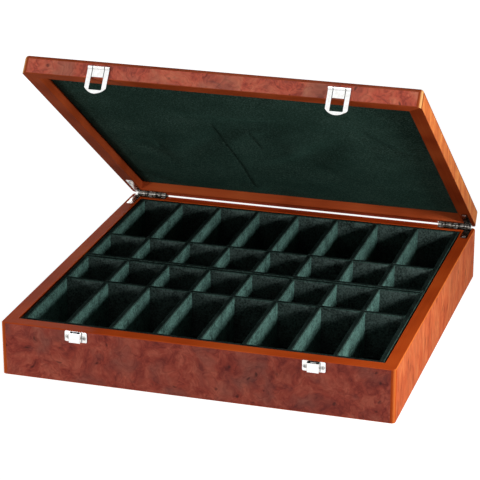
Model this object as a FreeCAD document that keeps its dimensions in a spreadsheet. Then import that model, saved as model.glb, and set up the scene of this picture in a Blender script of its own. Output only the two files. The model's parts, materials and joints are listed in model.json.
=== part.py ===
"""A hinged wooden box for a set of chess pieces.

The base is a mitred frame with burl veneer sheets let into its faces. It
holds two flocked trays, each with two rows of compartments, one for every
piece. The lid is a shallower frame of the same plan with a padded lining. Two
mortised corner hinges carry it, and two hasps on its front edge drop over
keepers on the base.

The origin is at the centre of the box's footprint, on the surface that the
box stands on. X runs to the right, Y runs to the back and Z runs up. The lid
is modelled closed, in a frame with its origin at the centre of its rim plane,
and then turned open about the hinge pins.
"""
import FreeCAD, Part
import os
import re
from math import atan2, sqrt

import Sketcher
from FreeCAD import Vector

# Driving sizes in millimetres, with angles in degrees
SIZES = {
    # The carcass
    "box_width": 380,
    "box_depth": 374,
    "base_height": 53,
    "lid_height": 18,
    "wall_thickness": 12.7,
    "corner_radius": 3.7,
    "base_edge_bevel": 0.8,
    "lid_edge_radius": 3.5,
    "rim_gap": 0.3,
    "lid_open_angle": 36.3,
    "bottom_panel_thickness": 4,
    "bottom_rabbet_width": 5,
    "top_panel_thickness": 5.5,
    "top_rabbet_width": 6,
    # The veneer sheets
    "veneer_thickness": 0.6,
    "veneer_corner_margin": 4.5,
    "veneer_edge_margin": 0.8,
    # The trays
    "tray_side_gap": 1.8,
    "tray_end_gap": 0.5,
    "tray_top_gap": 0.4,
    "tray_wall_thickness": 5,
    "tray_floor_thickness": 2,
    "tray_edge_bevel": 0.8,
    "short_row_length": 55,
    "column_count": 8,
    # The lining of the lid
    "lining_thickness": 4.9,
    "lining_side_gap": 0.3,
    "lining_crown": 0.8,
    "lining_crown_width": 60,
    "lining_edge_radius": 2.4,
    "lining_draw_in": 0.8,
    # The corner hinges
    "hinge_offset": 1.7,
    "barrel_radius": 2.5,
    "barrel_clearance": 0.3,
    "barrel_inset": 5.8,
    "barrel_length": 34,
    "knuckle_count": 3,
    "knuckle_gap": 0.2,
    "hinge_pin_radius": 1.15,
    "pin_end_length": 0.4,
    "running_clearance": 0.05,
    "leaf_thickness": 1.2,
    "leaf_inset": 3.5,
    "leaf_back_width": 9,
    "leaf_side_width": 7.5,
    "leaf_corner_bevel": 1.2,
    "base_leaf_length": 33,
    "lid_leaf_length": 44,
    "side_screw_margin": 5,
    "back_screw_margin": 3.6,
    "back_screw_pitch": 15.7,
    "mortise_clearance": 0.1,
    # The screws
    "screw_head_radius": 2.1,
    "screw_neck_radius": 1.5,
    "screw_slot_length": 2.6,
    "screw_slot_width": 0.5,
    "screw_slot_depth": 0.35,
    "countersink_clearance": 0.04,
    # The hasps on the lid
    "catch_offset": 114.5,
    "hasp_width": 21,
    "hasp_opening": 12.4,
    "hasp_bar_height": 3.4,
    "hasp_nose_drop": 5.4,
    "hasp_sheet_thickness": 1,
    "hasp_pin_height": 10.4,
    "hasp_pin_radius": 0.6,
    "hasp_eye_wall": 0.8,
    "hasp_slack": 0.4,
    "eye_clearance": 0.35,
    "slot_corner_bevel": 0.4,
    "hasp_plate_width": 21,
    "hasp_plate_bottom": 1.2,
    "hasp_plate_thickness": 0.6,
    "hasp_plate_screw_offset": 8,
    "hasp_plate_screw_height": 4.8,
    "boss_clearance": 0.7,
    "boss_thickness": 2.2,
    # The keepers on the base
    "keeper_width": 21.8,
    "keeper_height": 10.2,
    "keeper_drop": 0.6,
    "keeper_thickness": 0.8,
    "keeper_corner_bevel": 0.8,
    "keeper_screw_offset": 8.3,
    "keeper_screw_drop": 6.2,
    "keeper_box_clearance": 0.4,
    "keeper_box_height": 9.6,
    "keeper_box_drop": 1,
    "keeper_box_depth": 5.5,
    "keeper_box_wall": 0.7,
    "keeper_box_radius": 1.2,
    "snap_clearance": 0.7,
    "spring_width": 5,
    "spring_thickness": 0.5,
    "spring_curl_radius": 1.1,
    "spring_rise": 0.3,
}

# Sizes that follow from the driving sizes
FORMULAS = {
    "half_width": "box_width / 2",
    "half_depth": "box_depth / 2",
    "inner_width": "box_width - 2 * wall_thickness",
    "inner_depth": "box_depth - 2 * wall_thickness",
    "hinge_line": "half_depth + hinge_offset",
    "hinge_height": "base_height + rim_gap / 2",
    "lid_back": "hinge_line * (1 - cos(lid_open_angle)) + rim_gap / 2 * sin(lid_open_angle)",
    "lid_rise": "hinge_height + hinge_line * sin(lid_open_angle) + rim_gap / 2 * cos(lid_open_angle)",
    "tray_width": "inner_width - 2 * tray_side_gap",
    "tray_depth": "(inner_depth - 3 * tray_end_gap) / 2",
    "tray_height": "base_height - bottom_panel_thickness - tray_top_gap",
    "divider_height": "tray_height - tray_floor_thickness",
    "divider_base": "bottom_panel_thickness + tray_floor_thickness",
    "row_width": "tray_width - 2 * tray_wall_thickness",
    "divider_count": "column_count - 1",
    "column_width": "(row_width - divider_count * tray_wall_thickness) / column_count",
    "column_pitch": "column_width + tray_wall_thickness",
    "long_row_length": "tray_depth - 3 * tray_wall_thickness - short_row_length",
    "lining_width": "inner_width - 2 * lining_side_gap",
    "lining_depth": "inner_depth - 2 * lining_side_gap",
    "lining_top": "lid_height - top_panel_thickness",
    "lining_bottom": "lining_top - lining_thickness",
    "knuckle_length": "(barrel_length - (knuckle_count - 1) * knuckle_gap) / knuckle_count",
    "knuckle_pitch": "knuckle_length + knuckle_gap",
    "barrel_start": "barrel_inset - half_width",
    "leaf_start": "leaf_inset - half_width",
    "leaf_end": "barrel_start + barrel_length",
    "groove_radius": "barrel_radius + barrel_clearance",
    "groove_start": "barrel_start - barrel_clearance",
    "groove_length": "barrel_length + 2 * barrel_clearance",
    "web_start": "hinge_line - groove_radius - leaf_thickness",
    "pin_bore_radius": "hinge_pin_radius + running_clearance",
    "screw_head_depth": "hasp_plate_thickness",
    "eye_bore_radius": "hasp_pin_radius + running_clearance",
    "eye_radius": "eye_bore_radius + hasp_eye_wall",
    "hasp_pin_line": "half_depth + eye_radius + eye_clearance",
    "hasp_sheet_back": "half_depth + keeper_thickness + hasp_slack",
    "keeper_box_bottom": "keeper_box_drop + keeper_box_height",
    "keeper_box_width": "hasp_opening - 2 * keeper_box_clearance",
    "hasp_slot_bottom": "keeper_box_bottom + snap_clearance",
    "hasp_tip": "hasp_slot_bottom + hasp_bar_height",
    "hasp_shoulder": "hasp_tip - hasp_nose_drop",
    "hasp_nose_radius": "(hasp_width ^ 2 / 4 + hasp_nose_drop ^ 2) / (2 * hasp_nose_drop)",
    "boss_width": "hasp_opening - 2 * boss_clearance",
    "plate_shoulder": "hasp_pin_height - eye_radius - eye_clearance",
}

LID_PLACE = "placement(vector(0; lid_back; lid_rise); rotation(vector(-1; 0; 0); lid_open_angle))"
CUT_MARGIN = 1.0
FACES_FRONT = (Vector(1, 0, 0), 90)
FACES_UP = (Vector(1, 0, 0), 0)
FACES_DOWN = (Vector(1, 0, 0), 180)
ALONG_X = (Vector(0, 1, 0), 90)

doc = FreeCAD.newDocument("ChessPieceBox")
sheet = doc.addObject("Spreadsheet::Sheet", "Sizes")
nodes = []


def fill_sheet():
    """Write every size into the sheet under its own alias."""
    cells = {name: str(value) for name, value in SIZES.items()}
    cells.update({name: "=" + formula for name, formula in FORMULAS.items()})
    for row, (name, content) in enumerate(cells.items(), start=1):
        sheet.set(f"A{row}", name)
        sheet.set(f"B{row}", content)
        sheet.setAlias(f"B{row}", name)
    doc.recompute()


def number(formula):
    """Work out a formula in the sheet's sizes."""
    return float(sheet.evalExpression(formula))


def bind(item, prop, formula):
    """Tie a property to a formula, in which every two-word name is a size."""
    item.setExpression(prop, re.sub(r"\b[a-z]+(_[a-z]+)+\b", r"Sizes.\g<0>", formula))


def place(item, x="0", y="0", z="0", facing=FACES_UP, carrier=""):
    """Put an item at a point, turned about an axis, on the lid or on the base."""
    axis, angle = facing
    turn = f"rotation(vector({axis.x:g}; {axis.y:g}; {axis.z:g}); {angle})"
    spot = f"placement(vector({x}; {y}; {z}); {turn})"
    bind(item, "Placement", f"{carrier} * {spot}" if carrier else spot)
    return item


def on_lid(item):
    """Carry an item, modelled in the lid's frame, on the open lid."""
    bind(item, "Placement", LID_PLACE)
    return item


def node(label, item):
    """Name a finished sub-part."""
    item.Label = label
    nodes.append(item)
    return item


def body(name):
    """Start a body and find its origin planes by their roles."""
    made = doc.addObject("PartDesign::Body", name)
    made.AllowCompound = True
    planes = {feature.Role: feature for feature in made.Origin.OriginFeatures}
    return made, planes


def blank_sketch(owner, name, plane, offset):
    """Attach an empty sketch to an origin plane, moved along its normal."""
    sketch = owner.newObject("Sketcher::SketchObject", name)
    sketch.AttachmentSupport = [(plane, "")]
    sketch.MapMode = "FlatFace"
    bind(sketch, "AttachmentOffset.Base.z", offset)
    return sketch


def fix_point(sketch, edge, end, x, y):
    """Hold one end of an edge, or a circle's centre, at a place on the sheet."""
    for kind, formula in (("DistanceX", x), ("DistanceY", y)):
        rule = sketch.addConstraint(Sketcher.Constraint(kind, -1, 1, edge, end, number(formula)))
        bind(sketch, f"Constraints[{rule}]", formula)


def outline(owner, name, plane, corners, offset="0"):
    """Draw a closed outline, anticlockwise, through corners given as formulas.

    A corner's third item, where it has one, is the radius of the convex arc
    that leads to the next corner.
    """
    sketch = blank_sketch(owner, name, plane, offset)
    points = [Vector(number(corner[0]), number(corner[1]), 0) for corner in corners]
    count = len(corners)
    for index, corner in enumerate(corners):
        start, end = points[index], points[(index + 1) % count]
        if len(corner) == 2:
            sketch.addGeometry(Part.LineSegment(start, end), False)
            continue
        radius = number(corner[2])
        chord = end - start
        rise = sqrt(radius ** 2 - (chord.Length / 2) ** 2)
        centre = (start + end) / 2 + Vector(-chord.y, chord.x, 0).normalize() * rise
        first = atan2(start.y - centre.y, start.x - centre.x)
        last = atan2(end.y - centre.y, end.x - centre.x)
        circle = Part.Circle(centre, Vector(0, 0, 1), radius)
        sketch.addGeometry(Part.ArcOfCircle(circle, first, last), False)
    for index in range(count):
        sketch.addConstraint(Sketcher.Constraint("Coincident", index, 2, (index + 1) % count, 1))
    for index, corner in enumerate(corners):
        fix_point(sketch, index, 1, corner[0], corner[1])
        if len(corner) == 3:
            rule = sketch.addConstraint(Sketcher.Constraint("Radius", index, number(corner[2])))
            bind(sketch, f"Constraints[{rule}]", corner[2])
    return sketch


def rectangle(owner, name, plane, left, bottom, right, top, offset="0"):
    """Draw a rectangle from its lower left to its upper right corner."""
    corners = [(left, bottom), (right, bottom), (right, top), (left, top)]
    return outline(owner, name, plane, corners, offset)


def circle(owner, name, plane, x, y, radius, offset="0"):
    """Draw a full circle."""
    sketch = blank_sketch(owner, name, plane, offset)
    middle = Vector(number(x), number(y), 0)
    sketch.addGeometry(Part.Circle(middle, Vector(0, 0, 1), number(radius)), False)
    fix_point(sketch, 0, 3, x, y)
    rule = sketch.addConstraint(Sketcher.Constraint("Radius", 0, number(radius)))
    bind(sketch, f"Constraints[{rule}]", radius)
    return sketch


def pad(owner, name, sketch, length, symmetric=False):
    """Raise a sketch along its normal, or to both sides of its plane."""
    feature = owner.newObject("PartDesign::Pad", name)
    feature.Profile = sketch
    feature.SideType = "Symmetric" if symmetric else "One side"
    bind(feature, "Length", length)
    doc.recompute()
    return feature


def pocket(owner, name, sketch, length, along_normal=False, symmetric=False):
    """Cut a sketch into its body, against its normal unless told otherwise."""
    before = owner.Shape.Volume
    feature = owner.newObject("PartDesign::Pocket", name)
    feature.Profile = sketch
    feature.Reversed = along_normal
    feature.SideType = "Symmetric" if symmetric else "One side"
    bind(feature, "Length", length)
    doc.recompute()
    if owner.Shape.Volume >= before:
        raise RuntimeError(f"{name} cuts nothing")
    return feature


def pattern(owner, name, features, sketch, axis, length, count):
    """Repeat features along an axis of a sketch."""
    repeat = owner.newObject("PartDesign::LinearPattern", name)
    repeat.Originals = features
    repeat.Direction = (sketch, [axis])
    bind(repeat, "Length", length)
    bind(repeat, "Occurrences", count)
    owner.Tip = repeat
    doc.recompute()
    return repeat


def edges(feature, wanted):
    """List a feature's edges for which a test of the two end points is true."""
    found = []
    for index, edge in enumerate(feature.Shape.Edges, start=1):
        ends = [vertex.Point for vertex in edge.Vertexes]
        if len(ends) == 2 and wanted(*ends):
            found.append(f"Edge{index}")
    return found


def soften(owner, name, feature, wanted, radius):
    """Round the chosen edges of a feature."""
    fillet = owner.newObject("PartDesign::Fillet", name)
    fillet.Base = (feature, edges(feature, wanted))
    bind(fillet, "Radius", radius)
    doc.recompute()
    return fillet


def bevel(owner, name, feature, wanted, size):
    """Cut the chosen edges of a feature off at 45 degrees."""
    chamfer = owner.newObject("PartDesign::Chamfer", name)
    chamfer.Base = (feature, edges(feature, wanted))
    bind(chamfer, "Size", size)
    doc.recompute()
    return chamfer


def near(first, second):
    """Compare two lengths to a hundredth of a millimetre."""
    return abs(first - second) < 0.01


def upright(start, end):
    """Tell whether an edge stands along Z."""
    return near(start.x, end.x) and near(start.y, end.y)


def block(name, length, width, height):
    """Make a plain box with its corner at the origin."""
    box = doc.addObject("Part::Box", name)
    bind(box, "Length", length)
    bind(box, "Width", width)
    bind(box, "Height", height)
    return box


def group(name, items):
    """Gather items, each still a solid of its own."""
    gathered = doc.addObject("Part::Compound", name)
    gathered.Links = items
    return gathered


def cut(name, base, tool):
    """Take a tool away from a base."""
    feature = doc.addObject("Part::Cut", name)
    feature.Base = base
    feature.Tool = tool
    return feature


def common(name, first, second):
    """Keep what two items share."""
    feature = doc.addObject("Part::Common", name)
    feature.Base = first
    feature.Tool = second
    return feature


def copies(name, master, spots):
    """Put a link to one master at each spot and gather the links."""
    links = []
    for index, (x, y, z, facing) in enumerate(spots, start=1):
        link = doc.addObject("App::Link", f"{name}_{index}")
        link.LinkedObject = master
        links.append(place(link, x, y, z, facing))
    return group(name, links)


def mirrored(name, source):
    """Repeat a left-hand piece on the right."""
    twin = doc.addObject("Part::Mirroring", name)
    twin.Source = source
    twin.Normal = Vector(1, 0, 0)
    return twin


def frame_stock(name, height, ease_edge, edge_size, rabbet_floor, rabbet_depth, rabbet_width):
    """Make the four walls of a carcass as one ring, before they are mitred.

    ease_edge is soften or bevel, and takes the sharpness off the outer edge.
    """
    ring, planes = body(name)
    ground = planes["XY_Plane"]
    plan = rectangle(ring, name + "_plan", ground, "-half_width", "-half_depth", "half_width", "half_depth")
    solid = pad(ring, name + "_solid", plan, height)
    solid = soften(ring, name + "_corners", solid, upright, "corner_radius")
    top = number(height)

    def on_top(start, end):
        return near(start.z, top) and near(end.z, top)

    ease_edge(ring, name + "_edge", solid, on_top, edge_size)
    inside = rectangle(
        ring, name + "_inside", ground,
        "-inner_width / 2", "-inner_depth / 2", "inner_width / 2", "inner_depth / 2",
    )
    pocket(ring, name + "_opening", inside, height, along_normal=True)
    step = rectangle(
        ring, name + "_step", ground,
        f"-inner_width / 2 - {rabbet_width}", f"-inner_depth / 2 - {rabbet_width}",
        f"inner_width / 2 + {rabbet_width}", f"inner_depth / 2 + {rabbet_width}",
        rabbet_floor,
    )
    pocket(ring, name + "_rabbet", step, rabbet_depth, along_normal=True)
    return ring


def sheets(prefix, height, top_margin):
    """Make the four veneer sheets that lie flush in the outer faces."""
    bottom = "veneer_edge_margin"
    rise = f"{height} - veneer_edge_margin - {top_margin}"
    wide = "box_width - 2 * veneer_corner_margin"
    deep = "box_depth - 2 * veneer_corner_margin"
    left = "veneer_corner_margin - half_width"
    front = "veneer_corner_margin - half_depth"
    made = {}
    for side, x, y in (("front", left, "-half_depth"), ("back", left, "half_depth - veneer_thickness")):
        sheet_stock = block(f"{prefix}_{side}_sheet", wide, "veneer_thickness", rise)
        made[side] = place(sheet_stock, x, y, bottom)
    for side, x, y in (("left", "-half_width", front), ("right", "half_width - veneer_thickness", front)):
        sheet_stock = block(f"{prefix}_{side}_sheet", "veneer_thickness", deep, rise)
        made[side] = place(sheet_stock, x, y, bottom)
    return made


def mitre_block(name, length, x, y, quarter_turns):
    """Make the region that one mitred wall takes up, from its outer face in."""
    region = doc.addObject("Part::Wedge", name)
    reach = f"wall_thickness + {CUT_MARGIN}"
    for prop in ("Xmin", "Ymin", "Zmin", "Z2min"):
        setattr(region, prop, 0)
    for prop, formula in (
        ("Xmax", length),
        ("Ymax", reach),
        ("Zmax", "base_height + lid_height"),
        ("Z2max", "base_height + lid_height"),
        ("X2min", reach),
        ("X2max", f"{length} - ({reach})"),
    ):
        bind(region, prop, formula)
    return place(region, x, y, f"-{CUT_MARGIN}", (Vector(0, 0, 1), 90 * quarter_turns))


def mitred_walls(prefix, ring, carry=None):
    """Part a ring into four walls that meet at mitres."""
    for side, length, x, y, turns in (
        ("front", "box_width", "-half_width", "-half_depth", 0),
        ("right", "box_depth", "half_width", "-half_depth", 1),
        ("back", "box_width", "half_width", "half_depth", 2),
        ("left", "box_depth", "-half_width", "half_depth", 3),
    ):
        region = mitre_block(f"{prefix}_{side}_mitre", length, x, y, turns)
        wall = node(f"{prefix}_{side}_wall", common(f"{prefix}_{side}", ring, region))
        if carry:
            carry(wall)


def board(name, rabbet_width, thickness, bottom="0", carrier=""):
    """Make a board that fills a carcass and the rabbet round its opening."""
    made = block(
        name, f"inner_width + 2 * {rabbet_width}", f"inner_depth + 2 * {rabbet_width}", thickness,
    )
    left = f"-inner_width / 2 - {rabbet_width}"
    front = f"-inner_depth / 2 - {rabbet_width}"
    return place(made, left, front, bottom, carrier=carrier)


def turn(name, started, corners):
    """Turn a closed profile, drawn in X and Z, all the way round Z."""
    owner, planes = started
    profile = outline(owner, name + "_profile", planes["XZ_Plane"], corners)
    turned = owner.newObject("PartDesign::Revolution", name + "_turned")
    turned.Profile = profile
    turned.ReferenceAxis = (profile, ["V_Axis"])
    turned.Angle = 360
    doc.recompute()


def screw_master():
    """Make the countersunk head of a screw, its top flush at the origin."""
    screw, planes = body("screw_head")
    turn("screw", (screw, planes), [
        ("0", "-screw_head_depth"),
        ("screw_neck_radius", "-screw_head_depth"),
        ("screw_head_radius", "0"),
        ("0", "0"),
    ])
    long_side = "screw_slot_length / 2"
    short_side = "screw_slot_width / 2"
    for name, wide, high in (("slot", long_side, short_side), ("cross", short_side, long_side)):
        recess = rectangle(
            screw, f"screw_{name}_plan", planes["XY_Plane"], f"-{wide}", f"-{high}", wide, high,
        )
        pocket(screw, f"screw_{name}", recess, "screw_slot_depth")
    return screw


def hole_master():
    """Make the countersink that a screw's head fills."""
    hole, planes = body("countersink")
    neck = "screw_neck_radius + countersink_clearance"
    rim = "screw_head_radius + countersink_clearance"
    turn("countersink", (hole, planes), [
        ("0", "-screw_head_depth"),
        (neck, "-screw_head_depth"),
        (rim, "0"),
        (rim, str(CUT_MARGIN)),
        ("0", str(CUT_MARGIN)),
    ])
    return hole


def leaf_corners(length, slack):
    """List the corners of an L-shaped leaf on the left, grown by some slack."""
    back = "half_depth"
    side_end = f"half_depth - {length} - {slack}"
    inner_side = f"leaf_start + leaf_side_width + {slack}"
    inner_back = f"half_depth - leaf_back_width - {slack}"
    return [
        (f"leaf_start - {slack}", side_end),
        (inner_side, side_end),
        (inner_side, inner_back),
        (f"leaf_end + {slack}", inner_back),
        (f"leaf_end + {slack}", back),
        (f"leaf_start - {slack}", back),
    ]


def clip_leaf(owner, name, feature):
    """Clip the free corners of a leaf, but not those at the rear face."""
    limit = number("half_depth") - CUT_MARGIN

    def free_corner(start, end):
        return upright(start, end) and start.y < limit

    bevel(owner, name, feature, free_corner, "leaf_corner_bevel")


def mortise(name, length, bottom, pin_height):
    """Make the shallow recess for a leaf, with the groove for the barrel."""
    recess, planes = body(name)
    corners = leaf_corners(length, "mortise_clearance")
    corners[4] = (corners[4][0], f"half_depth + {CUT_MARGIN}")
    corners[5] = (corners[5][0], f"half_depth + {CUT_MARGIN}")
    plan = outline(recess, name + "_plan", planes["XY_Plane"], corners, bottom)
    solid = pad(recess, name + "_solid", plan, "leaf_thickness")
    clip_leaf(recess, name + "_clip", solid)
    pad(recess, name + "_groove", groove_ring(recess, name, planes, pin_height), "groove_length")
    return recess


def groove_ring(owner, name, planes, pin_height):
    """Draw the end of the groove that a barrel turns in."""
    return circle(
        owner, name + "_groove_ring", planes["YZ_Plane"],
        "hinge_line", pin_height, "groove_radius", "groove_start",
    )


def hinge_leaf(name, length, bottom, pin_height, first_knuckle, knuckles):
    """Make a left-hand leaf: an L-shaped plate with knuckles along its back."""
    leaf, planes = body(name)
    corners = leaf_corners(length, "0")
    plan = outline(leaf, name + "_plan", planes["XY_Plane"], corners, bottom)
    plate = pad(leaf, name + "_plate", plan, "leaf_thickness")
    clip_leaf(leaf, name + "_clip", plate)
    groove = groove_ring(leaf, name, planes, pin_height)
    pocket(leaf, name + "_groove", groove, "groove_length", along_normal=True)
    side = planes["YZ_Plane"]
    start = f"barrel_start + {first_knuckle} * knuckle_pitch"
    ring = circle(leaf, name + "_ring", side, "hinge_line", pin_height, "barrel_radius", start)
    knuckle = pad(leaf, name + "_knuckle", ring, "knuckle_length")
    web = rectangle(
        leaf, name + "_web", side,
        "web_start", bottom, "hinge_line", f"{bottom} + leaf_thickness", start,
    )
    tongue = pad(leaf, name + "_tongue", web, "knuckle_length")
    pattern(
        leaf, name + "_row", [knuckle, tongue], ring, "N_Axis",
        f"2 * knuckle_pitch * ({knuckles} - 1)", knuckles,
    )
    hole = circle(
        leaf, name + "_bore_ring", side, "hinge_line", pin_height, "pin_bore_radius", "barrel_start",
    )
    pocket(leaf, name + "_bore", hole, "barrel_length", along_normal=True)
    return leaf


def pin(name, start, length, y, z, radius, carrier=""):
    """Make a straight pin along X that ends a little proud of what it holds."""
    rod = doc.addObject("Part::Cylinder", name)
    bind(rod, "Radius", radius)
    bind(rod, "Height", f"{length} + 2 * pin_end_length")
    return place(rod, f"{start} - pin_end_length", y, z, ALONG_X, carrier)


def strip(name, along_x, length, spots_x=None):
    """Make a strip with an eased top, or a row of them side by side along X."""
    made, planes = body(name)
    plane = planes["YZ_Plane"] if along_x else planes["XZ_Plane"]
    thickness = "tray_wall_thickness"
    ease = "tray_edge_bevel"
    profile = outline(made, name + "_profile", plane, [
        ("0", "0"),
        (thickness, "0"),
        (thickness, f"divider_height - {ease}"),
        (f"{thickness} - {ease}", "divider_height"),
        (ease, "divider_height"),
        ("0", f"divider_height - {ease}"),
    ])
    run = pad(made, name + "_run", profile, length)
    run.Reversed = not along_x
    if spots_x:
        count, pitch = spots_x
        pattern(made, name + "_row", [run], profile, "H_Axis", f"({count} - 1) * {pitch}", count)
    return made


def tray(prefix, front, first_row, rows):
    """Make one flocked tray: a floor, four walls and the dividers of two rows."""
    wall = "tray_wall_thickness"
    left = "-tray_width / 2"
    inside_left = "-row_width / 2"
    front_row = f"{front} + {wall}"
    middle = f"{front_row} + {first_row}"
    base = "divider_base"
    floor = block(f"{prefix}_floor_board", "tray_width", "tray_depth", "tray_floor_thickness")
    node(f"{prefix}_floor", place(floor, left, front, "bottom_panel_thickness"))
    for side, y in (("front", front), ("back", f"{front} + tray_depth - {wall}")):
        made = strip(f"{prefix}_{side}_strip", True, "tray_width")
        node(f"{prefix}_{side}_wall", place(made, left, y, base))
    for side, x in (("left", left), ("right", "row_width / 2")):
        made = strip(f"{prefix}_{side}_strip", False, f"tray_depth - 2 * {wall}")
        node(f"{prefix}_{side}_wall", place(made, x, front_row, base))
    made = strip(f"{prefix}_middle_strip", True, "row_width")
    node(f"{prefix}_long_divider", place(made, inside_left, middle, base))
    for row, y in zip(rows, (front_row, f"{middle} + {wall}")):
        made = strip(f"{prefix}_{row}_strips", False, f"{row}_length", ("divider_count", "column_pitch"))
        spot = place(made, f"{inside_left} + column_width", y, base)
        node(f"{prefix}_{row}_dividers", spot)


def both_sides(spots):
    """Repeat left-hand spots on the right."""
    right = [(f"-({x})", y, z, facing) for x, y, z, facing in spots]
    return spots + right


def leaf_spots(length, height, facing):
    """Place the three screws of a left-hand hinge leaf and its twin's."""
    back = "half_depth - leaf_back_width / 2"
    side = f"half_depth - {length} + side_screw_margin"
    return both_sides([
        ("leaf_start + leaf_side_width / 2", side, height, facing),
        ("leaf_end - back_screw_margin - back_screw_pitch", back, height, facing),
        ("leaf_end - back_screw_margin", back, height, facing),
    ])


def catch_spots(offset, proud, height):
    """Place the pair of screws at each catch, on the front face."""
    face = f"-half_depth - {proud}"
    return both_sides([
        (f"-catch_offset - {offset}", face, height, FACES_FRONT),
        (f"-catch_offset + {offset}", face, height, FACES_FRONT),
    ])


def hasp_plate():
    """Make the plate that carries a hasp's pin in the barrel along its top."""
    plate, planes = body("hasp_plate")
    face = planes["XZ_Plane"]
    half_plate = "hasp_plate_width / 2"
    half_boss = "boss_width / 2"
    bottom = "hasp_plate_bottom"
    top = "hasp_pin_height"
    shape = outline(plate, "hasp_plate_outline", face, [
        (f"-{half_plate}", bottom),
        (half_plate, bottom),
        (half_plate, "plate_shoulder"),
        (half_boss, "plate_shoulder"),
        (half_boss, top),
        (f"-{half_boss}", top),
        (f"-{half_boss}", "plate_shoulder"),
        (f"-{half_plate}", "plate_shoulder"),
    ], "half_depth")
    pad(plate, "hasp_plate_sheet", shape, "hasp_plate_thickness")
    raised = rectangle(
        plate, "hasp_boss_outline", face, f"-{half_boss}", bottom, half_boss, top, "half_depth",
    )
    pad(plate, "hasp_boss", raised, "boss_thickness")
    side = planes["YZ_Plane"]
    ring = circle(plate, "hasp_barrel_ring", side, "-hasp_pin_line", top, "eye_radius")
    pad(plate, "hasp_barrel", ring, "boss_width", symmetric=True)
    hole = circle(plate, "hasp_barrel_hole", side, "-hasp_pin_line", top, "eye_bore_radius")
    pocket(plate, "hasp_barrel_bore", hole, "hasp_plate_width", symmetric=True)
    return place(plate, "-catch_offset")


def hasp():
    """Stamp a hasp: two rails with rolled eyes, joined by a rounded nose."""
    made, planes = body("hasp_stamping")
    face = planes["XZ_Plane"]
    half = "hasp_width / 2"
    shape = outline(made, "hasp_outline", face, [
        (f"-{half}", "-hasp_shoulder", "hasp_nose_radius"),
        (half, "-hasp_shoulder"),
        (half, "hasp_pin_height"),
        (f"-{half}", "hasp_pin_height"),
    ], "hasp_sheet_back")
    pad(made, "hasp_sheet", shape, "hasp_sheet_thickness")
    side = planes["YZ_Plane"]
    ring = circle(made, "hasp_eye_ring", side, "-hasp_pin_line", "hasp_pin_height", "eye_radius")
    pad(made, "hasp_eyes", ring, "hasp_width", symmetric=True)
    window = rectangle(
        made, "hasp_slot_outline", face,
        "-hasp_opening / 2", "-hasp_slot_bottom",
        "hasp_opening / 2", "hasp_pin_height + 2 * eye_radius", "hasp_pin_line",
    )
    opened = pocket(made, "hasp_slot", window, "4 * eye_radius", symmetric=True)
    foot = -number("hasp_slot_bottom")
    half_slot = number("hasp_opening / 2")

    def slot_corner(start, end):
        flat = near(start.z, foot) and near(end.z, foot)
        return flat and near(start.x, end.x) and near(abs(start.x), half_slot)

    bevel(made, "hasp_slot_corners", opened, slot_corner, "slot_corner_bevel")
    hole = circle(made, "hasp_eye_hole", side, "-hasp_pin_line", "hasp_pin_height", "eye_bore_radius")
    pocket(made, "hasp_eye_bore", hole, "2 * hasp_width", symmetric=True)
    return place(made, "-catch_offset", carrier=LID_PLACE)


def keeper():
    """Make a keeper: a plate with a folded box, open at its top, on its front."""
    made, planes = body("keeper_plate")
    face = planes["XZ_Plane"]
    half = "keeper_width / 2"
    top = "base_height - keeper_drop"
    shape = rectangle(
        made, "keeper_outline", face, f"-{half}", f"{top} - keeper_height", half, top, "half_depth",
    )
    plate = pad(made, "keeper_sheet", shape, "keeper_thickness")

    def plate_corner(start, end):
        return near(start.x, end.x) and near(start.z, end.z)

    bevel(made, "keeper_corners", plate, plate_corner, "keeper_corner_bevel")
    half_box = "keeper_box_width / 2"
    box_bottom = "base_height - keeper_box_bottom"
    box_top = "base_height - keeper_box_drop"
    raised = rectangle(
        made, "keeper_box_outline", face, f"-{half_box}", box_bottom, half_box, box_top, "half_depth",
    )
    solid = pad(made, "keeper_box", raised, "keeper_box_depth")
    front = -number("half_depth + keeper_box_depth")
    low = number(box_bottom)

    def box_edge(start, end):
        at_front = near(start.y, front) and near(end.y, front)
        return at_front and (upright(start, end) or near(start.z, low) and near(end.z, low))

    soften(made, "keeper_box_edges", solid, box_edge, "keeper_box_radius")
    hollow = rectangle(
        made, "keeper_hollow_outline", planes["XY_Plane"],
        f"-{half_box} + keeper_box_wall", "-half_depth - keeper_box_depth + keeper_box_wall",
        f"{half_box} - keeper_box_wall", "-half_depth - keeper_thickness", box_top,
    )
    pocket(made, "keeper_hollow", hollow, "keeper_box_height - keeper_box_wall")
    return place(made, "-catch_offset")


def keeper_spring():
    """Bend a leaf spring, with a curl at its top, inside a keeper's box."""
    made, planes = body("spring_leaf")
    side = planes["YZ_Plane"]
    foot = "base_height - keeper_box_bottom + keeper_box_wall"
    back = "-half_depth - keeper_thickness"
    line = "-half_depth - (keeper_thickness + keeper_box_depth - keeper_box_wall) / 2"
    height = "base_height - keeper_box_drop + spring_rise - spring_curl_radius"
    shape = outline(made, "spring_outline", side, [
        (f"{back} - spring_thickness", foot),
        (back, foot),
        (f"{line} + spring_thickness / 2", height),
        (f"{line} - spring_thickness / 2", height),
    ])
    pad(made, "spring_blade", shape, "spring_width", symmetric=True)
    ring = circle(made, "spring_curl_ring", side, line, height, "spring_curl_radius")
    pad(made, "spring_curl", ring, "spring_width", symmetric=True)
    eye = circle(
        made, "spring_eye_ring", side, line, height, "spring_curl_radius - spring_thickness",
    )
    pocket(made, "spring_eye", eye, "2 * spring_width", symmetric=True)
    return place(made, "-catch_offset")


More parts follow.
